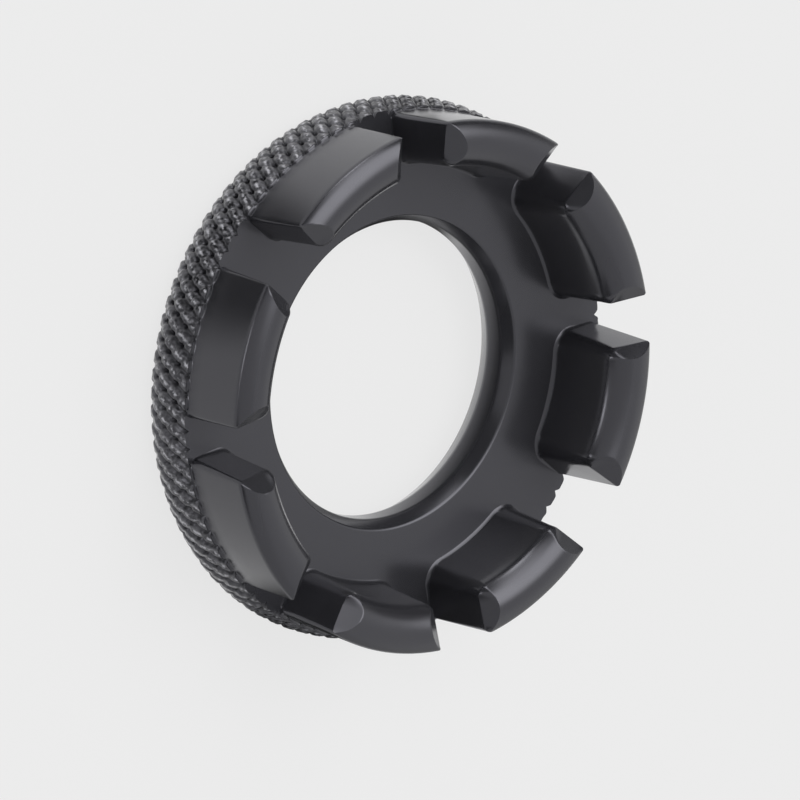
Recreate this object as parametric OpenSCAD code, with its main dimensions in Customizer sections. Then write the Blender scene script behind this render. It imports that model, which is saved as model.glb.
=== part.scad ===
// Ring spoke wrench: a knurled ring lying on its flat back, with eight jaws standing on its upper face.
// A spoke nipple is gripped between the two walls of the slot that fits it,
// while its spoke lies across the open well to the slot on the far side.
// Millimetres. The origin is the centre of the back face, +Z points to the jaws, slot 1 is on +X.

/* [Ring] */
// Thickness of the ring, from its back face to the floor of the slots
ring_h = 4.4; // [3.6:0.1:6]
// Diameter of the central hole
bore_d = 23.1; // [16:0.1:26]
// Width of the bevel at the hole's upper edge
bore_bevel_top_w = 0.65; // [0.2:0.05:1.2]
// Depth of the bevel at the hole's upper edge
bore_bevel_top_h = 1; // [0.3:0.1:1.2]
// Width of the bevel at the hole's lower edge
bore_bevel_back_w = 0.95; // [0.3:0.05:1.4]
// Depth of the bevel at the hole's lower edge
bore_bevel_back_h = 1.8; // [0.4:0.1:2]

/* [Knurled rim] */
// Diameter over the knurl's peaks, at the middle of the rim's height
rim_d = 42; // [38:0.1:48]
// Radial thickness of the rim, from the peaks to the ring that it sits on
rim_t = 2.5; // [1.6:0.1:3.2]
// How much smaller the rim's radius is at its two faces than at mid-height
rim_barrel = 0.7; // [0.2:0.05:1]
// Number of diamonds round the rim
knurl_count = 90; // [60:1:110]
// Number of diamonds stacked over the rim's height
knurl_rows = 2; // [1:1:3]
// Depth of the grooves between the diamonds
knurl_depth = 0.35; // [0.1:0.05:0.6]

/* [Jaws] */
// Height of the jaws' outer edge above the floor of the slots
jaw_h = 6; // [4.5:0.1:8]
// How much lower the jaws' inner edge lies than the outer edge
jaw_inner_drop = 0.7; // [0:0.1:1.4]
// How far the rounded tip bulges over the straight line between its two edges
jaw_crown = 1.05; // [0.3:0.05:1.4]
// Radial thickness of a jaw at its foot
jaw_t = 4; // [3:0.1:5]
// How much further out the outer face lies at its upper edge than at its foot
jaw_outer_lean = 0.2; // [0:0.05:0.6]
// How much further out the inner face lies at its upper edge than at its foot
jaw_inner_lean = 0.6; // [0:0.05:1]

/* [Slots] */
// Width of slot 1 at half the jaws' height
slot_1_w = 3.2; // [2.8:0.1:5.4]
// Width of slot 2 at half the jaws' height
slot_2_w = 3.6; // [2.8:0.1:5.4]
// Width of slot 3 at half the jaws' height
slot_3_w = 3.9; // [2.8:0.1:5.4]
// Width of slot 4 at half the jaws' height
slot_4_w = 4.5; // [2.8:0.1:5.4]
// Width of slot 5 at half the jaws' height
slot_5_w = 3.7; // [2.8:0.1:5.4]
// Width of slot 6 at half the jaws' height
slot_6_w = 4.4; // [2.8:0.1:5.4]
// Width of slot 7 at half the jaws' height
slot_7_w = 4.1; // [2.8:0.1:5.4]
// Width of slot 8 at half the jaws' height
slot_8_w = 5; // [2.8:0.1:5.4]
// Lean of each slot wall, which opens the slot towards the tips
slot_draft = 4.5; // [1:0.5:7]
// Radius of the rounding where a slot wall meets the tip
slot_lip_r = 0.9; // [0.3:0.1:1.2]
// Size of the bevel that widens each slot's mouth towards the well
slot_lead_in = 1.3; // [0.4:0.1:1.6]
// Size of the bevel that widens each slot's mouth on the outside
slot_lead_out = 0.6; // [0.2:0.1:1.2]

/* [Hidden] */
slot_widths = [slot_1_w, slot_2_w, slot_3_w, slot_4_w, slot_5_w, slot_6_w, slot_7_w, slot_8_w];
slot_count = len(slot_widths);
slot_step = 360 / slot_count;

metal = [0.2, 0.2, 0.21];
knurl_metal = [0.27, 0.27, 0.28];
// Cuts run this far past the faces that they open
overrun = 1;
arc_steps = 8;

bore_r = bore_d / 2;
rim_r = rim_d / 2;
rim_seat_r = rim_r - rim_t;
rim_face_r = rim_r - rim_barrel;

// The jaws' section, as radius and height above the floor
jaw_foot_out = rim_face_r;
jaw_foot_in = jaw_foot_out - jaw_t;
jaw_edge_out = [jaw_foot_out + jaw_outer_lean, jaw_h];
jaw_edge_in = [jaw_foot_in + jaw_inner_lean, jaw_h - jaw_inner_drop];
crown_chord = jaw_edge_out - jaw_edge_in;
crown_half = norm(crown_chord) / 2;
crown_tilt = atan2(crown_chord[1], crown_chord[0]);
crown_r = (crown_half * crown_half + jaw_crown * jaw_crown) / (2 * jaw_crown);
crown_centre = (jaw_edge_out + jaw_edge_in) / 2
    - (crown_r - jaw_crown) * [-sin(crown_tilt), cos(crown_tilt)];
crown_reach = atan2(crown_half, crown_r - jaw_crown);
tip_h = crown_centre[1] + crown_r;

function on_circle(centre, r, a) = centre + r * [cos(a), sin(a)];

function arc(centre, r, a_from, a_to) =
    [for (i = [0:arc_steps]) on_circle(centre, r, a_from + (a_to - a_from) * i / arc_steps)];

// Half the width of slot n at the floor
function slot_floor_half(n) = slot_widths[n - 1] / 2 - tan(slot_draft) * jaw_h / 2;

// Knurl. Points lie on a grid with two columns for each diamond and two levels for each row.
// Where column and level add up to an even number there is a peak, and at all others grooves cross.
knurl_columns = 2 * knurl_count;
knurl_levels = 2 * knurl_rows;

function is_peak(i, j) = (i + j) % 2 == 0;

function barrel_r(s) = rim_r - rim_barrel * pow(2 * s - 1, 2);

function knurl_point(i, j) =
    let (
        s = j / knurl_levels,
        r = barrel_r(s) - (is_peak(i, j) ? 0 : knurl_depth),
        a = 360 * i / knurl_columns
    )
    [r * cos(a), r * sin(a), ring_h * s];

function knurl_index(i, j) = j * knurl_columns + i % knurl_columns;

// Each cell is split along its groove, so that two sloping sides rise from it to the peaks
function knurl_cell(i, j) =
    let (
        low = knurl_index(i, j),
        next = knurl_index(i + 1, j),
        up = knurl_index(i, j + 1),
        up_next = knurl_index(i + 1, j + 1)
    )
    is_peak(i, j) ? [[low, up, next], [next, up, up_next]] : [[low, up, up_next], [low, up_next, next]];

// A four-sided face of one column, between two of the rim's edges
function knurl_strip(i, j_from, j_to) = [
    knurl_index(i, j_from),
    knurl_index(i + 1, j_from),
    knurl_index(i + 1, j_to),
    knurl_index(i, j_to)
];

// Slot n as a solid that runs out along +X from the middle of the ring: its straight walls
// lean apart and roll over onto the tips, and both of its mouths are bevelled
module slot_cut(n) {
    floor_half = slot_floor_half(n);
    reach = jaw_edge_out[0] + overrun;
    top = tip_h + overrun;
    lip_centre = [
        floor_half + (tip_h - slot_lip_r) * tan(slot_draft) + slot_lip_r / cos(slot_draft),
        tip_h - slot_lip_r
    ];
    lip = arc(lip_centre, slot_lip_r, 180 - slot_draft, 90);
    right = concat([[floor_half, 0]], lip, [[lip_centre[0], top]]);
    left = [for (i = [len(right) - 1:-1:0]) [-right[i][0], right[i][1]]];
    rotate([90, 0, 90])
        linear_extrude(reach)
            polygon(concat(right, left));
    inner = jaw_foot_in - overrun;
    outer = jaw_foot_out + overrun;
    mouths = [
        [inner, floor_half + slot_lead_in + overrun],
        [jaw_foot_in + slot_lead_in, floor_half],
        [jaw_foot_out - slot_lead_out, floor_half],
        [outer, floor_half + slot_lead_out + overrun]
    ];
    mouths_mirrored = [for (i = [len(mouths) - 1:-1:0]) [mouths[i][0], -mouths[i][1]]];
    linear_extrude(top)
        polygon(concat(mouths, mouths_mirrored));
}

// The plain inner ring with its hole
module ring_body() {
    color(metal)
        rotate_extrude($fn = 180)
            polygon([
                [bore_r + bore_bevel_back_w, 0],
                [rim_seat_r, 0],
                [rim_seat_r, ring_h],
                [bore_r + bore_bevel_top_w, ring_h],
                [bore_r, ring_h - bore_bevel_top_h],
                [bore_r, bore_bevel_back_h]
            ]);
}

// The barrel-shaped grip band. Its points are the knurl's levels, and then the lower and the upper
// edge of the flat-sided inner wall, which just clears the round ring inside it
module knurled_rim() {
    seat_r = rim_seat_r / cos(180 / knurl_columns);
    back_edge = knurl_levels + 1;
    floor_edge = knurl_levels + 2;
    columns = [0:knurl_columns - 1];
    outside = [for (j = [0:knurl_levels], i = columns) knurl_point(i, j)];
    inside = [
        for (z = [0, ring_h], i = columns)
            [seat_r * cos(360 * i / knurl_columns), seat_r * sin(360 * i / knurl_columns), z]
    ];
    knurl = [for (j = [0:knurl_levels - 1], i = columns, side = knurl_cell(i, j)) side];
    back = [for (i = columns) knurl_strip(i, 0, back_edge)];
    wall = [for (i = columns) knurl_strip(i, back_edge, floor_edge)];
    floor_side = [for (i = columns) knurl_strip(i, floor_edge, knurl_levels)];
    color(knurl_metal)
        polyhedron(points = concat(outside, inside), faces = concat(knurl, back, wall, floor_side));
}

// Jaw n stands on the ring and the rim, between slot n and the next slot
module jaw(n) {
    next = n % slot_count + 1;
    section = concat(
        [[jaw_foot_in, 0], [jaw_foot_out, 0]],
        arc(crown_centre, crown_r, 90 + crown_tilt - crown_reach, 90 + crown_tilt + crown_reach)
    );
    color(metal)
        translate([0, 0, ring_h])
            rotate([0, 0, (n - 1) * slot_step])
                difference() {
                    rotate_extrude(angle = slot_step, $fn = 180)
                        polygon(section);
                    slot_cut(n);
                    rotate([0, 0, slot_step])
                        slot_cut(next);
                }
}

ring_body();
knurled_rim();
for (n = [1:slot_count])
    jaw(n);
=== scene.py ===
# %% [markdown]
# # A ring spoke wrench
# The real tool is one piece of steel: a knurled ring with eight jaws standing on one face. It is
# coated black all over, thinly enough that every edge stays crisp. This lesson loads the measured
# model of it, and models a finer skin for each of its regions.

# %% Load the measured model
import math

import bmesh
import bpy
from mathutils import Euler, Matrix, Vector, noise


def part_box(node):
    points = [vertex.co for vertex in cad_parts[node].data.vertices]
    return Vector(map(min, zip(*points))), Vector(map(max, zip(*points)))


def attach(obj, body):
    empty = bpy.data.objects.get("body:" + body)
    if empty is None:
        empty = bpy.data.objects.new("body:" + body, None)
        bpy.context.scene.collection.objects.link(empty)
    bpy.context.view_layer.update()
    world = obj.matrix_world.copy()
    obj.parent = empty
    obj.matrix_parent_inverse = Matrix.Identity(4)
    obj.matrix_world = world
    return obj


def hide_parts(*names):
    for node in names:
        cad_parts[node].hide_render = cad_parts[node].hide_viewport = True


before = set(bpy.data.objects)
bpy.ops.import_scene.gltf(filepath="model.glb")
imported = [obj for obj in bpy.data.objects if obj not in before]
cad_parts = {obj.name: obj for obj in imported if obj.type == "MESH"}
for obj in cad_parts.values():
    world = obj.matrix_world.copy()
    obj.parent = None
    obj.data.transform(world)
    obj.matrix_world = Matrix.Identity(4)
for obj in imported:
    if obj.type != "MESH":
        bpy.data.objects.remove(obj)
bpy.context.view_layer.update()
MM = 0.001
print("nodes:", sorted(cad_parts))

# %% [markdown]
# ## Sizes
# The outer sizes come from the measured model, so the skins stay inside it. Most others are the
# same values that its solids were made from, while the crown and the outer lean of a jaw are up to
# 0.1 mm off, and each slot is turned a little round the ring, as the real ones are. A bevel is given
# by its width and its depth. All sizes are in millimetres, and heights count from the floor of the
# slots, because the whole upper side was measured from that plane.

# %% Read the sizes
def in_mm(node):
    low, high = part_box(node)
    return [value / MM for value in low], [value / MM for value in high]

RING_H = in_mm("ring_body")[1][2]
SEAT_R = in_mm("ring_body")[1][0]
RIM_R = in_mm("knurled_rim")[1][0]
RIM_BARREL = 0.7
RIM_FACE_R = RIM_R - RIM_BARREL

BORE_R = 11.55
BORE_BEVEL_TOP = (0.65, 1.0)
BORE_BEVEL_BACK = (0.95, 1.8)

JAW_H = 6.0
JAW_INNER_DROP = 0.7
JAW_CROWN = 1.04
JAW_T = 4.0
JAW_OUTER_LEAN = 0.3
JAW_INNER_LEAN = 0.6

SLOT_WIDTHS = [3.2, 3.6, 3.9, 4.5, 3.7, 4.4, 4.1, 5.0]
SLOT_DRAFT = math.radians(4.5)
SLOT_STEP = 2 * math.pi / len(SLOT_WIDTHS)
SLOT_SHIFTS = [0.18, 0.15, 0.10, 0.20, -0.05, -0.08, -0.03, 0.07]
print("ring height", round(RING_H, 2), "rim radius", round(RIM_R, 2), "seat radius", round(SEAT_R, 2))

# %% [markdown]
# ## Helpers
# A colour picked in an image editor is an sRGB hex value, while Blender's sockets want linear
# light, so one function converts it. Another adds a node with its settings and its links, which
# keeps each material short. A third marks the edges that turn sharply, so that only the rounded
# ones are shaded smooth. The last one turns a finished bmesh in millimetres into an object in
# metres, whose place is in its mesh: the object itself stays at the origin, so that a pattern on
# Object coordinates never slides.

# %% Colour, node and object helpers
def linear(hex_code):
    channels = [int(hex_code[i:i + 2], 16) / 255 for i in (1, 3, 5)]
    return [c / 12.92 if c <= 0.04045 else ((c + 0.055) / 1.055) ** 2.4 for c in channels] + [1.0]

def add_node(tree, kind, settings=None, inputs=None, links=None):
    node = tree.nodes.new(kind)
    for name, value in (settings or {}).items():
        setattr(node, name, value)
    for name, value in (inputs or {}).items():
        node.inputs[name].default_value = value
    for name, source in (links or {}).items():
        tree.links.new(source, node.inputs[name])
    return node

def shade_smooth(bm, crease_deg=40):
    for face in bm.faces:
        face.smooth = True
    for edge in bm.edges:
        edge.smooth = len(edge.link_faces) == 2 and edge.calc_face_angle() < math.radians(crease_deg)

def make_object(name, bm, material, lift=RING_H):
    shade_smooth(bm)
    for vertex in bm.verts:
        vertex.co = (vertex.co + Vector((0, 0, lift))) * MM
    mesh = bpy.data.meshes.new(name)
    bm.to_mesh(mesh)
    bm.free()
    piece = bpy.data.objects.new(name, mesh)
    bpy.context.scene.collection.objects.link(piece)
    mesh.materials.append(material)
    print(name, "has", len(mesh.polygons), "faces")
    return piece

print("the mid grey #808080 is", round(linear("#808080")[0], 3), "in linear light")

# %% [markdown]
# ## The coating
# The steel is finished with electrophoretic black enamel: the tool hangs in a bath and an even
# skin about 0.02 mm thick builds up on it, and is then baked. It is an enamel and not bare metal,
# so the shader isn't metallic: the body colour is nearly black, and what the eye sees is the
# gloss of its surface, with a slightly cool cast. Its IOR is a little above the 1.55 or so of an
# epoxy, because the real skin mirrors a little more than that gives. The bake leaves a faint ripple
# of a millimetre or so, which a small bump on Object coordinates gives. The grain of the skin is too
# fine for the picture, so it is drawn 0.12 mm wide, and 0.3 mm on the knurl. There the skin is also
# rougher, and hands have rubbed it to grey on the crests. The same light grey along the ridges of
# the strands is also a painted highlight, for the bright streaks that light draws on them. A noise
# alone would put it anywhere, so the mesh says how much each point may get, and the noise only
# breaks it up.

# %% Make the enamel
ENAMEL_IOR = 1.68
ENAMEL_TINT = (0.91, 0.905, 1.0, 1.0)
RIPPLE_MM = 1.6
WEAR_AND_HIGHLIGHT_PATCHES = (0.42, 0.62)

def enamel(name, colour, roughness, ripple_depth, grain_depth, grain_mm, wear_and_highlight=None):
    material = bpy.data.materials.new(name)
    material.use_nodes = True
    tree = material.node_tree
    tree.nodes.clear()
    place = add_node(tree, "ShaderNodeTexCoord")
    wave = add_node(tree, "ShaderNodeTexNoise", inputs={"Scale": 1 / (RIPPLE_MM * MM), "Detail": 1.0},
                    links={"Vector": place.outputs["Object"]})
    fine = add_node(tree, "ShaderNodeTexNoise", inputs={"Scale": 1 / (grain_mm * MM), "Detail": 2.0},
                    links={"Vector": place.outputs["Object"]})
    ripple_bump = add_node(tree, "ShaderNodeBump",
                           inputs={"Strength": 1.0, "Distance": ripple_depth * MM},
                           links={"Height": wave.outputs["Fac"]})
    bump = add_node(tree, "ShaderNodeBump", inputs={"Strength": 1.0, "Distance": grain_depth * MM},
                    links={"Height": fine.outputs["Fac"], "Normal": ripple_bump.outputs["Normal"]})
    spread = add_node(tree, "ShaderNodeMapRange",
                      inputs={"To Min": roughness * 0.8, "To Max": roughness * 1.2},
                      links={"Value": wave.outputs["Fac"]})
    shader = add_node(tree, "ShaderNodeBsdfPrincipled",
                      inputs={"Base Color": linear(colour), "IOR": ENAMEL_IOR,
                              "Specular Tint": ENAMEL_TINT},
                      links={"Roughness": spread.outputs["Result"], "Normal": bump.outputs["Normal"]})
    # The light grey mixed in on the crests is wear, and along the ridges also a painted highlight.
    if wear_and_highlight:
        crest = add_node(tree, "ShaderNodeAttribute", settings={"attribute_name": "crest"})
        patchy = add_node(tree, "ShaderNodeMapRange",
                          inputs={"From Min": WEAR_AND_HIGHLIGHT_PATCHES[0], "From Max": WEAR_AND_HIGHLIGHT_PATCHES[1]},
                          links={"Value": fine.outputs["Fac"]})
        share = add_node(tree, "ShaderNodeMath", settings={"operation": "MULTIPLY"},
                         links={0: crest.outputs["Fac"], 1: patchy.outputs["Result"]})
        tone = add_node(tree, "ShaderNodeMix", settings={"data_type": "RGBA"},
                        inputs={6: linear(colour), 7: linear(wear_and_highlight)}, links={0: share.outputs[0]})
        tree.links.new(tone.outputs[2], shader.inputs["Base Color"])
    add_node(tree, "ShaderNodeOutputMaterial", links={"Surface": shader.outputs["BSDF"]})
    return material

SMOOTH_ENAMEL = enamel("black_enamel", "#28282b", roughness=0.22, ripple_depth=0.004,
                       grain_depth=0.0006, grain_mm=0.12)
# On the knurl the light grey is crest wear and a painted highlight along the strands.
KNURL_ENAMEL = enamel("black_enamel_on_knurl", "#19191b", roughness=0.3, ripple_depth=0.004,
                      grain_depth=0.012, grain_mm=0.3, wear_and_highlight="#c8c8ce")
print("coatings:", SMOOTH_ENAMEL.name, "and", KNURL_ENAMEL.name)

# %% [markdown]
# ## The ring
# A turned part is one outline spun about its axis. `create_circle` would need bridging ring by
# ring, so the outline is drawn once as a chain of edges and `spin` carries it round. The bevel
# operator then rounds the hard edges of the hole, as the coating and a light deburring do.

# %% Spin the ring
RING_STEPS = 180
BORE_EDGE_WIDTHS = (0.16, 0.2, 0.22, 0.3)
MERGE_WITHIN = 1e-5
ON_CIRCLE_WITHIN = 1e-3

def spun(outline, steps=RING_STEPS):
    bm = bmesh.new()
    points = [bm.verts.new((r, 0, z)) for r, z in outline]
    edges = [bm.edges.new((points[i - 1], points[i])) for i in range(len(points))]
    bmesh.ops.spin(bm, geom=points + edges, cent=(0, 0, 0), axis=(0, 0, 1), angle=2 * math.pi,
                   steps=steps, use_merge=True)
    bmesh.ops.remove_doubles(bm, verts=bm.verts, dist=MERGE_WITHIN)
    bmesh.ops.recalc_face_normals(bm, faces=bm.faces)
    return bm

def edges_on_circle(bm, r, z):
    def near(vertex):
        off = abs(math.hypot(vertex.co.x, vertex.co.y) - r)
        return max(off, abs(vertex.co.z - z)) < ON_CIRCLE_WITHIN
    return [edge for edge in bm.edges if near(edge.verts[0]) and near(edge.verts[1])]

def make_ring():
    top_r, top_z = BORE_R + BORE_BEVEL_TOP[0], -BORE_BEVEL_TOP[1]
    back_r, back_z = BORE_R + BORE_BEVEL_BACK[0], BORE_BEVEL_BACK[1] - RING_H
    corners = [(top_r, 0.0), (BORE_R, top_z), (BORE_R, back_z), (back_r, -RING_H)]
    bm = spun([(SEAT_R, 0.0), *corners, (SEAT_R, -RING_H)])
    for (r, z), width in zip(corners, BORE_EDGE_WIDTHS):
        bmesh.ops.bevel(bm, geom=edges_on_circle(bm, r, z), offset=width, segments=5, profile=0.5,
                        affect="EDGES", material=-1)
    return make_object("ring", bm, SMOOTH_ENAMEL)

ring = make_ring()
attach(ring, "root")
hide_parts("ring_body")

# %% [markdown]
# ## The knurl
# A knurl is rolled: two wheels press helical grooves of opposite hand into the rim, and diamonds
# stay up between them. Here one wheel bit deeper than the other, so the diamonds line up like the
# strands of a rope, and a small pit is left wherever two grooves cross. Rolling left the faces
# rough. A Wave or Brick texture could only draw this, and it would vanish at the rim's outline. So
# the rim is spun like the ring, but finely, and each point of its barrel is pressed in by both
# grooves and chipped by a little noise. An attribute keeps, for the coating, how much light grey
# each point gets, which is wear and also a painted highlight: most along the ridge of a strand,
# less on the rest of its top, and little where a groove cuts it.

# %% Spin and knurl the rim
KNURL_COUNT = 90
KNURL_ROWS = 2
DEEP_GROOVE = 0.24
SHALLOW_GROOVE = 0.1
PIT_DEPTH = 0.22
GROOVE_WIDTH = 0.46
GROOVE_FADE = 0.3
CREST_DROP_FRONT = 0.35
CHIP_DEPTH = 0.1
CHIP_MM = 0.36
POINTS_PER_DIAMOND = 16
BARREL_STEPS = KNURL_ROWS * POINTS_PER_DIAMOND
# These set where the knurl is painted light grey: wear on the crests, and a painted highlight along the
# ridges.
WEAR_AND_HIGHLIGHT_DOWN_TO = 0.2
TOP_WEAR_AND_HIGHLIGHT = 0.12
RIDGE_SHARE = 0.26
RIDGE_BREAK = 0.8
FACES_ALONG_AXIS = 0.98

def barrel_r(z):
    from_middle = 2 * z / RING_H + 1
    return RIM_R - (CREST_DROP_FRONT if from_middle > 0 else RIM_BARREL) * from_middle ** 2

def groove(turns):
    distance = abs((turns + 0.5) % 1 - 0.5) * 2
    return max(1 - distance / GROOVE_WIDTH, 0)

def knurl_grooves(angle, z):
    along = angle / (2 * math.pi) * KNURL_COUNT
    up = (z + RING_H) / RING_H * KNURL_ROWS
    return along - up + 0.5, along + up + 0.5

def knurl_dip(angle, z):
    deep, shallow = [groove(turns) for turns in knurl_grooves(angle, z)]
    return DEEP_GROOVE * deep + SHALLOW_GROOVE * shallow + PIT_DEPTH * deep * shallow

def knurl_wear_and_highlight(angle, z):
    """How much wear and painted highlight this point gets: a little on a diamond's top, and most along
    the ridge of its strand.
    """
    deep, shallow = knurl_grooves(angle, z)
    on_top = max(1 - knurl_dip(angle, z) / WEAR_AND_HIGHLIGHT_DOWN_TO, 0)
    from_ridge = 1 - abs((deep + 0.5) % 1 - 0.5) * 2
    on_ridge = max(1 - from_ridge / RIDGE_SHARE, 0) * (1 - RIDGE_BREAK * groove(shallow))
    return TOP_WEAR_AND_HIGHLIGHT * on_top + (1 - TOP_WEAR_AND_HIGHLIGHT) * on_ridge

def knurled_r(angle, z):
    place = Vector((RIM_R * math.cos(angle), RIM_R * math.sin(angle), z)) / CHIP_MM
    chip = CHIP_DEPTH * (0.5 + 0.5 * noise.noise(place))
    return barrel_r(z) - knurl_dip(angle, z) * (1 - GROOVE_FADE * (2 * z / RING_H + 1) ** 4) - chip

def make_rim():
    barrel = [-RING_H * i / BARREL_STEPS for i in range(BARREL_STEPS + 1)]
    outline = [(SEAT_R, 0.0)] + [(barrel_r(z), z) for z in barrel] + [(SEAT_R, -RING_H)]
    bm = spun(outline, KNURL_COUNT * POINTS_PER_DIAMOND)
    # Each point's share of light grey: wear, and a painted highlight along the ridges.
    crest = bm.verts.layers.float.new("crest")
    for vertex in bm.verts:
        r = math.hypot(vertex.co.x, vertex.co.y)
        if r > SEAT_R + ON_CIRCLE_WITHIN:
            angle = math.atan2(vertex.co.y, vertex.co.x)
            vertex[crest] = knurl_wear_and_highlight(angle, vertex.co.z)
            vertex.co.xy *= knurled_r(angle, vertex.co.z) / r
    bm.normal_update()
    for face in bm.faces:
        face.material_index = 1 if abs(face.normal.z) > FACES_ALONG_AXIS else 0
    rim = make_object("knurled_grip", bm, KNURL_ENAMEL)
    rim.data.materials.append(SMOOTH_ENAMEL)
    return rim

rim = make_rim()
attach(rim, "root")
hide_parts("knurled_rim")

# %% [markdown]
# ## The outline of a jaw
# Cut through a jaw from the well to the rim and its outline is a straight inner wall, a crown
# that is a plain arc, one crisp crease at the upper outer edge, and the outer wall, and both
# walls lean outwards a little. A bevelled block would need its crown rounded afterwards, while
# here the crown's circle simply follows from its two ends and from how far it bulges.

# %% Draw the jaw's outline
FOOT_FILLET = 0.35
CREASE_R = 0.12
CROWN_STEPS = 12
INNER_HEIGHTS = (FOOT_FILLET, 1.2, 2.4, 3.6, 4.6)
OUTER_HEIGHTS = (JAW_H - CREASE_R, JAW_H - 3 * CREASE_R, 4.8, 3.6, 2.4, 1.2, FOOT_FILLET)

def polar(centre, r, angle):
    return centre + r * Vector((math.cos(angle), math.sin(angle)))

EDGE_OUT = Vector((RIM_FACE_R + JAW_OUTER_LEAN, JAW_H))
EDGE_IN = Vector((RIM_FACE_R - JAW_T + JAW_INNER_LEAN, JAW_H - JAW_INNER_DROP))
chord = EDGE_OUT - EDGE_IN
CROWN_R = (chord.length_squared / 4 + JAW_CROWN ** 2) / (2 * JAW_CROWN)
CROWN_CENTRE = (EDGE_OUT + EDGE_IN) / 2 - (CROWN_R - JAW_CROWN) * Vector((-chord.y, chord.x)).normalized()

def wall_r(foot_r, lean, edge, z):
    return foot_r + lean * z / edge.y

def jaw_outline():
    start = math.atan2(*(EDGE_IN - CROWN_CENTRE).yx)
    end = math.atan2(*(EDGE_OUT - CROWN_CENTRE).yx)
    crease_share = CREASE_R / CROWN_R
    inner = [Vector((wall_r(RIM_FACE_R - JAW_T, JAW_INNER_LEAN, EDGE_IN, z), z)) for z in INNER_HEIGHTS]
    crown = [polar(CROWN_CENTRE, CROWN_R, start + (end + crease_share - start) * i / CROWN_STEPS)
             for i in range(CROWN_STEPS + 1)]
    outer = [Vector((wall_r(RIM_FACE_R, JAW_OUTER_LEAN, EDGE_OUT, z), z)) for z in OUTER_HEIGHTS]
    return inner + crown + outer

OUTLINE = jaw_outline()
TIP_Z = max(point.y for point in OUTLINE)
print("outline points", len(OUTLINE), "tip", round(TIP_Z, 2), "crown radius", round(CROWN_R, 2))

# %% [markdown]
# ## The jaws
# Every jaw has that outline, but its two ends are the walls of two slots of different widths.
# So a flat grid is made first, whose columns are the stations along the jaw and whose rows are
# the points of the outline, and each of its points is then moved to its place on the ring. Near
# an end the stations crowd together and the outline shrinks, which shapes the end in one go: the
# inner corner is well rounded, the outer one hardly, and across the crown a flat facet slopes down
# into the slot, to lead the spoke nipple in. The facet is steeper at three ends, and one outer
# edge is blunter than the others, as each jaw was struck a little differently.

# %% Helpers for one jaw
ROUND_STEPS = 8
MIDDLE_STEPS = 60
LAST_STATION = 2 * ROUND_STEPS + MIDDLE_STEPS
INNER_ROUND = (1.4, 0.8)
OUTER_ROUND = (0.5, 0.25)
BLUNT_END = (6, 0)
BLUNT_ROUND = (0.15, 0.7)
LEAD_IN_Z = (5.25, 5.95)
LEAD_IN_RUN = 1.13
STEEP_RUNS = {(0, 1): 0.68, (7, 1): 0.68, (6, 0): 0.82}
ROUND_POWER = 2.0
FACET_POWER = 1.0
FACET_FADE = (0.2, 0.1)
TINY = 1e-6

def mix(a, b, share):
    return a + (b - a) * share

def clamp(value):
    return min(max(value, 0.0), 1.0)

def end_shape(index, outer_round, facet_run):
    """At this outline point: how deep the end is cut, which way, its run, and how round it is."""
    point = OUTLINE[index]
    before = OUTLINE[max(index - 1, 0)]
    after = OUTLINE[min(index + 1, len(OUTLINE) - 1)]
    normal = Vector(((after - before).y, -(after - before).x)).normalized()
    height = clamp(point.y / JAW_H)
    across = (point.x - EDGE_IN.x) / (EDGE_OUT.x - EDGE_IN.x)
    if point.y < EDGE_IN.y - TINY and across < 0.5:
        return mix(*INNER_ROUND, height), normal, 1.0, ROUND_POWER
    if point.y < EDGE_OUT.y - TINY and across > 0.5:
        return mix(*outer_round, height), normal, 1.0, ROUND_POWER
    facet = clamp(across / FACET_FADE[0]) * clamp((1 - across) / FACET_FADE[1])
    rounded = INNER_ROUND[1] if across < 0.5 else outer_round[1]
    cut = mix(rounded, point.y - mix(*LEAD_IN_Z, across), facet)
    direction = normal.lerp(Vector((0, -1)), facet).normalized()
    return cut, direction, mix(1.0, facet_run, facet), mix(ROUND_POWER, FACET_POWER, facet)

def slot_edge(n, r, z, shift):
    """Angle from the place of slot n to its wall, at this radius and height."""
    half = SLOT_WIDTHS[n % len(SLOT_WIDTHS)] / 2 + (z - JAW_H / 2) * math.tan(SLOT_DRAFT)
    return math.asin((half + shift) / r)

def place_on_jaw(n, station, index):
    """The place of one grid point: a station along jaw n and a point of its outline."""
    at_end = station > LAST_STATION / 2
    outer_round = BLUNT_ROUND if (n, int(at_end)) == BLUNT_END else OUTER_ROUND
    facet_run = STEEP_RUNS.get((n, int(at_end)), LEAD_IN_RUN)
    cut, direction, run, power = end_shape(index, outer_round, facet_run)
    turn = math.pi / 2 * min(station, LAST_STATION - station, ROUND_STEPS) / ROUND_STEPS
    point = OUTLINE[index] + direction * cut * (1 - math.sin(turn) ** (2 / power))
    point.y = max(point.y, FOOT_FILLET) if index in (0, len(OUTLINE) - 1) else point.y
    r, z = point
    in_from_wall = cut * run * (1 - math.cos(turn) ** (2 / power)) / r
    shifts = SLOT_SHIFTS[n], -SLOT_SHIFTS[(n + 1) % len(SLOT_SHIFTS)]
    start = n * SLOT_STEP + slot_edge(n, r, z, shifts[0]) + in_from_wall
    end = (n + 1) * SLOT_STEP - slot_edge(n + 1, r, z, shifts[1]) - in_from_wall
    angle = mix(start, end, clamp((station - ROUND_STEPS) / MIDDLE_STEPS))
    return Vector((r * math.cos(angle), r * math.sin(angle), z))

print("stations along a jaw:", LAST_STATION + 1)

# %% [markdown]
# ## Closing a jaw
# The grid is still open at both ends and underneath. At an end, one new edge joins the two feet, and
# the loop that this makes is filled with a flat cap. Round the foot, the steel runs out into the
# ring in a small hollow fillet, which fades towards the outer wall, because that one stands right
# over the knurl and only meets the rim's narrow ledge. A bevel would round the edge the wrong way,
# so the open rim of the mesh is extruded in a few steps, and each step moves outwards more and down
# less.

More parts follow.
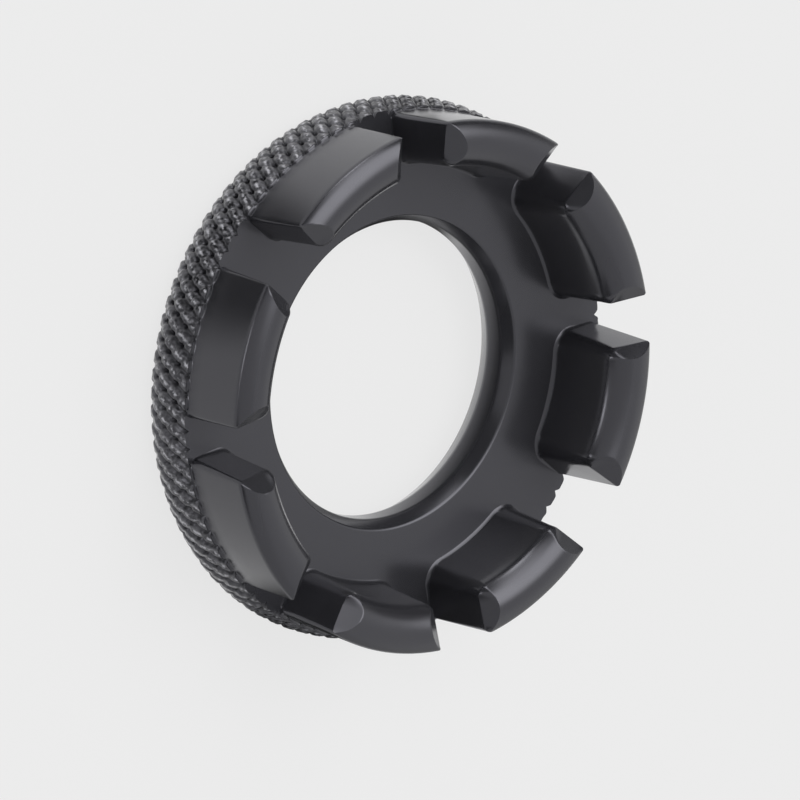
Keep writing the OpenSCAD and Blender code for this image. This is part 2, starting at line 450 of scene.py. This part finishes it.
# %% Helpers for the ends and the foot
FILLET_STEPS = 4
FILLET_FADE = 1.2
SUNK = 0.03
FOOT_EDGE_R = RIM_FACE_R - 0.1
FACES_OUT = 0.9

def cap_ends(bm, columns, rows):
    column, row = bm.verts.layers.int["column"], bm.verts.layers.int["row"]
    for end in (0, columns - 1):
        feet = [vertex for vertex in bm.verts if vertex[column] == end and vertex[row] in (0, rows - 1)]
        bmesh.ops.contextual_create(bm, geom=feet)
        loop = [edge for edge in bm.edges if (edge.is_boundary or edge.is_wire)
                and all(vertex[column] == end for vertex in edge.verts)]
        bmesh.ops.edgeloop_fill(bm, edges=loop)

def fillet_weight(place, direction):
    """How far the fillet spreads here: fully inside, and on the outer wall only to the rim's ledge."""
    r = math.hypot(place.x, place.y)
    if r <= FOOT_EDGE_R:
        return clamp((FOOT_EDGE_R - r) / FILLET_FADE)
    outwards = Vector((place.x, place.y, 0)).normalized()
    ledge = knurled_r(math.atan2(place.y, place.x), 0.0) - RIM_FACE_R
    return clamp(ledge / FOOT_FILLET) if direction.dot(outwards) > FACES_OUT else 0.0

def flare_foot(bm):
    bm.normal_update()
    edges = [edge for edge in bm.edges if edge.is_boundary]
    bases = {}
    for vertex in (vertex for edge in edges for vertex in edge.verts):
        direction = Vector((vertex.normal.x, vertex.normal.y, 0)).normalized()
        bases[vertex] = (vertex.co.copy(), direction * fillet_weight(vertex.co, direction))
    for step in range(1, FILLET_STEPS + 1):
        turn = math.pi / 2 * step / FILLET_STEPS
        out, down = FOOT_FILLET * (1 - math.cos(turn)), FOOT_FILLET * math.sin(turn)
        made = bmesh.ops.extrude_edge_only(bm, edges=edges)["geom"]
        new_bases = {}
        for vertex in (item for item in made if isinstance(item, bmesh.types.BMVert)):
            twin = min(bases, key=lambda old: (old.co - vertex.co).length_squared)
            new_bases[vertex] = bases[twin]
        for vertex, (base, sideways) in new_bases.items():
            vertex.co = base + sideways * out
            vertex.co.z = FOOT_FILLET - down - (SUNK if step == FILLET_STEPS else 0)
        edges = [item for item in made if isinstance(item, bmesh.types.BMEdge)]
        bases = new_bases
    bmesh.ops.edgeloop_fill(bm, edges=edges)

print("the fillet at a foot is", FOOT_FILLET, "mm high, in", FILLET_STEPS, "steps")

# %% [markdown]
# ## All eight jaws
# The jaws differ only in the slots on their two sides, so one function makes them all. The operator
# `create_grid` gives the flat grid. Each vertex keeps its column and its row in a layer, so that
# both are still known when it has moved. The real tool is one piece, so every jaw rides with it.

# %% Make the jaws
def make_jaw(n):
    columns, rows = LAST_STATION + 1, len(OUTLINE)
    bm = bmesh.new()
    bmesh.ops.create_grid(bm, x_segments=columns - 1, y_segments=rows - 1, size=0.5)
    column, row = bm.verts.layers.int.new("column"), bm.verts.layers.int.new("row")
    for vertex in bm.verts:
        vertex[column] = round((vertex.co.x + 0.5) * (columns - 1))
        vertex[row] = round((vertex.co.y + 0.5) * (rows - 1))
    for vertex in bm.verts:
        vertex.co = place_on_jaw(n, vertex[column], vertex[row])
    cap_ends(bm, columns, rows)
    bmesh.ops.recalc_face_normals(bm, faces=bm.faces)
    flare_foot(bm)
    bmesh.ops.recalc_face_normals(bm, faces=bm.faces)
    return make_object(f"jaw_skin_{n + 1}", bm, SMOOTH_ENAMEL)

for n in range(len(SLOT_WIDTHS)):
    jaw = make_jaw(n)
    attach(jaw, "root")
    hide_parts(f"jaw_{n + 1}")

# %% [markdown]
# ## What the gloss sees of the card
# The tool lies on a plain pale card. Black gloss shows what stands round it, and a card under a tool
# isn't evenly bright: it is dark close under the jaws and where the studio's black flags stand. Real
# flags and lamps could make these shades, but they would darken the picture's background too. So
# the card has soft shades, round ones and bands, and a bright strip beside the rim, that only
# glossy rays see.

# %% Soft shades on the card
ROUND_SHADES = [
    ((0, 0, 0), 8.0, 11.0, 0.1),
    ((-19, 18.5, 0), 5.0, 12.5, 0.03),
    ((-6.5, -22.5, 0), 7.0, 12.0, 0.03),
    ((5.5, 8.8, 0), 3.0, 5.5, 0.1),
    ((7.5, 23.5, 0), 2.6, 4.3, 0.1),
]
SHADE_BANDS = [((1, 0, 0), -20, 0, 0.72, 1.08), ((0.82, -0.57, 0), 26, 34, 1.0, 0.4)]
STRIP_INSIDE = (12.0, 16.0, 0.0)
STRIP_OUTSIDE = (22.4, 24.2, 1.0, 0.0)
STRIP_SIDE = ((-0.6, 0.8, 0), -8, -2, 0.0)

def shaded(tree, light, measure, vector, start, end, low, high=1.0):
    """The light times a soft step from low to high over the card, by distance or along a direction."""
    place = add_node(tree, "ShaderNodeTexCoord")
    measured = add_node(tree, "ShaderNodeVectorMath", settings={"operation": measure},
                        inputs={1: vector}, links={0: place.outputs["Object"]})
    step = add_node(tree, "ShaderNodeMapRange", settings={"interpolation_type": "SMOOTHSTEP"},
                    inputs={"From Min": start * MM, "From Max": end * MM, "To Min": low, "To Max": high},
                    links={"Value": measured.outputs["Value"]})
    product = add_node(tree, "ShaderNodeMath", settings={"operation": "MULTIPLY"},
                       links={0: light, 1: step.outputs["Result"]})
    return product.outputs[0]

def mirrored_light(tree):
    """How bright the gloss sees the card: its shades on it, but never darker than the strip."""
    full = add_node(tree, "ShaderNodeValue")
    full.outputs[0].default_value = 1.0
    card, strip = full.outputs[0], full.outputs[0]
    for band in SHADE_BANDS:
        card = shaded(tree, card, "DOT_PRODUCT", *band)
    for centre, *span in ROUND_SHADES:
        card = shaded(tree, card, "DISTANCE", Vector(centre) * MM, *span)
    for span in (STRIP_OUTSIDE, STRIP_INSIDE):
        strip = shaded(tree, strip, "DISTANCE", (0, 0, 0), *span)
    strip = shaded(tree, strip, "DOT_PRODUCT", *STRIP_SIDE)
    brighter = add_node(tree, "ShaderNodeMath", settings={"operation": "MAXIMUM"},
                        links={0: card, 1: strip})
    return brighter.outputs[0]

print(len(ROUND_SHADES), "round shades and", len(SHADE_BANDS), "bands on the card")

# %% [markdown]
# ## The card itself
# A white sheet lit by lamps would never come out perfectly even, so the card's material asks what
# kind of ray has met it. A camera ray sees mostly the card's own colour, which gives an even
# background, and for a small part its lit surface, which keeps the tool's soft shadow. The card
# runs far out on all sides. It lies a hair under the tool, so that the two faces don't flicker, and
# it is clear from below, so that the tool's back can be looked at too.

# %% Lay the floor
FLOOR_COLOUR = "#ebebeb"
FLOOR_HALF_M = 4.0
FLOOR_GLOW = 0.9
FLOOR_DROP = 0.05

def pale_card():
    material = bpy.data.materials.new("pale_card")
    material.use_nodes = True
    tree = material.node_tree
    tree.nodes.clear()
    path = add_node(tree, "ShaderNodeLightPath")
    card = add_node(tree, "ShaderNodeBsdfDiffuse", inputs={"Color": linear(FLOOR_COLOUR)})
    seen = add_node(tree, "ShaderNodeEmission", inputs={"Color": linear(FLOOR_COLOUR)})
    mirrored = add_node(tree, "ShaderNodeEmission", inputs={"Color": linear("#ffffff")},
                        links={"Strength": mirrored_light(tree)})
    glow = add_node(tree, "ShaderNodeMath", settings={"operation": "MULTIPLY"}, inputs={1: FLOOR_GLOW},
                    links={0: path.outputs["Is Camera Ray"]})
    for_camera = add_node(tree, "ShaderNodeMixShader",
                          links={0: glow.outputs[0], 1: card.outputs[0], 2: seen.outputs[0]})
    for_gloss = add_node(tree, "ShaderNodeMixShader",
                         links={0: path.outputs["Is Glossy Ray"], 1: for_camera.outputs[0],
                                2: mirrored.outputs[0]})
    side = add_node(tree, "ShaderNodeNewGeometry")
    clear = add_node(tree, "ShaderNodeBsdfTransparent")
    from_above = add_node(tree, "ShaderNodeMixShader",
                          links={0: side.outputs["Backfacing"], 1: for_gloss.outputs[0],
                                 2: clear.outputs[0]})
    add_node(tree, "ShaderNodeOutputMaterial", links={"Surface": from_above.outputs[0]})
    return material

def make_floor():
    bm = bmesh.new()
    bmesh.ops.create_grid(bm, x_segments=1, y_segments=1, size=FLOOR_HALF_M)
    bmesh.ops.translate(bm, verts=bm.verts, vec=(0, 0, -FLOOR_DROP * MM))
    mesh = bpy.data.meshes.new("floor")
    bm.to_mesh(mesh)
    bm.free()
    mesh.materials.append(pale_card())
    floor = bpy.data.objects.new("floor", mesh)
    bpy.context.scene.collection.objects.link(floor)
    return floor

floor = make_floor()
print("floor", 2 * FLOOR_HALF_M, "m wide")

# %% [markdown]
# ## The light
# Soft studio light: an even pale room all round, and one wide soft box from the far side. Black
# gloss takes its shape from what it mirrors, so the room has a few soft patches: dark ones where a
# black flag keeps the lead-in facets and the hole's bevel dark, and bright ones that draw the
# highlight along the crowns and the thin lines on the jaws' edges and feet. Lamps could do the same,
# but a lamp has a hard edge in a mirror, while a patch of the room fades out. A patch is given by
# its azimuth and elevation, the angles where it is full and where it ends, and its brightness.

# %% Patches of the room
ROOM_LIGHT = 0.62
DARK_PATCHES = [
    (120, 8, 22, 34, 0.12),
    (40, 10, 22, 33, 0.08),
    (203, 15, 14, 21, 0.08),
]
BRIGHT_PATCHES = [
    (54, 56, 6, 37, 2.7),
    (161, 3, 4, 12, 5.0),
    (85, 3, 4, 12, 5.0),
    (82, 24, 5, 19, 1.5),
]

world = bpy.data.worlds.new("pale_room")
bpy.context.scene.world = world
world.use_nodes = True
room = world.node_tree
look = add_node(room, "ShaderNodeTexCoord")

def direction_to(azimuth, elevation):
    turn, lift = math.radians(azimuth), math.radians(elevation)
    return Vector((math.cos(turn) * math.cos(lift), math.sin(turn) * math.cos(lift), math.sin(lift)))

def patch(azimuth, elevation, full_within, ends_at, inside, outside):
    """A round patch of the room: its value inside, and outside, and a soft edge between the two."""
    facing = add_node(room, "ShaderNodeVectorMath", settings={"operation": "DOT_PRODUCT"},
                      inputs={1: direction_to(azimuth, elevation)}, links={0: look.outputs["Generated"]})
    edge = add_node(room, "ShaderNodeMapRange", settings={"interpolation_type": "SMOOTHSTEP"},
                    inputs={"From Min": math.cos(math.radians(ends_at)),
                            "From Max": math.cos(math.radians(full_within)),
                            "To Min": outside, "To Max": inside},
                    links={"Value": facing.outputs["Value"]})
    return edge.outputs["Result"]

print(len(DARK_PATCHES), "dark patches and", len(BRIGHT_PATCHES), "bright ones")

# %% [markdown]
# ## The room and the soft box
# A dark patch is multiplied into the room's light and a bright one is added to it, so they can
# overlap. The camera itself sees a plain backdrop in the card's colour wherever it looks past the
# card. The one lamp is the soft box.

# %% Set the room and the soft box
even_room = add_node(room, "ShaderNodeValue")
even_room.outputs[0].default_value = ROOM_LIGHT
light = even_room.outputs[0]
for dark in DARK_PATCHES:
    light = add_node(room, "ShaderNodeMath", settings={"operation": "MULTIPLY"},
                     links={0: light, 1: patch(*dark, 1.0)}).outputs[0]
for bright in BRIGHT_PATCHES:
    light = add_node(room, "ShaderNodeMath", settings={"operation": "ADD"},
                     links={0: light, 1: patch(*bright, 0.0)}).outputs[0]
room.nodes["Background"].inputs["Color"].default_value = (1, 1, 1, 1)
room.links.new(light, room.nodes["Background"].inputs["Strength"])

room_path = add_node(room, "ShaderNodeLightPath")
backdrop = add_node(room, "ShaderNodeBackground", inputs={"Color": linear(FLOOR_COLOUR), "Strength": 1.0})
seen_room = add_node(room, "ShaderNodeMixShader",
                     links={0: room_path.outputs["Is Camera Ray"], 1: room.nodes["Background"].outputs[0],
                            2: backdrop.outputs[0]})
room.links.new(seen_room.outputs[0], room.nodes["World Output"].inputs["Surface"])

BOX_DISTANCE = 1.2

def soft_box(name, azimuth, elevation, wide_deg, tall_deg, brightness):
    """A soft box seen from the tool as wide_deg by tall_deg. A brightness of 1 is white."""
    towards = direction_to(azimuth, elevation)
    lamp = bpy.data.lights.new(name, "AREA")
    lamp.shape = "RECTANGLE"
    lamp.size = 2 * BOX_DISTANCE * math.tan(math.radians(wide_deg / 2))
    lamp.size_y = 2 * BOX_DISTANCE * math.tan(math.radians(tall_deg / 2))
    lamp.energy = brightness * math.pi * lamp.size * lamp.size_y
    box = bpy.data.objects.new(name, lamp)
    box.location = towards * BOX_DISTANCE
    box.rotation_euler = towards.to_track_quat("Z", "Y").to_euler()
    bpy.context.scene.collection.objects.link(box)

soft_box("far_box", azimuth=340, elevation=47, wide_deg=100, tall_deg=60, brightness=0.12)

# %% [markdown]
# ## The camera
# The photograph was taken from far away with a long lens, so the camera is too. It looks down at
# the slots from one side, and is rolled so that the ring's axis points right in the picture.

# %% Place the camera
CAMERA_PLACE_MM = (-684.71, 349.25, 844.27)
CAMERA_TURN_DEG = (-14.512, -40.415, -5.400)
LENS_MM = 675
SENSOR_MM = 36
CAMERA_SEES_TO_M = 10

camera_data = bpy.data.cameras.new("long_lens")
camera_data.lens = LENS_MM
camera_data.sensor_width = SENSOR_MM
camera_data.clip_end = CAMERA_SEES_TO_M
camera = bpy.data.objects.new("long_lens", camera_data)
camera.location = [value * MM for value in CAMERA_PLACE_MM]
camera.rotation_euler = Euler([math.radians(value) for value in CAMERA_TURN_DEG])
bpy.context.scene.collection.objects.link(camera)
bpy.context.scene.camera = camera
bpy.context.scene.view_settings.view_transform = "Standard"
print("camera", round(camera.location.length, 2), "m away")
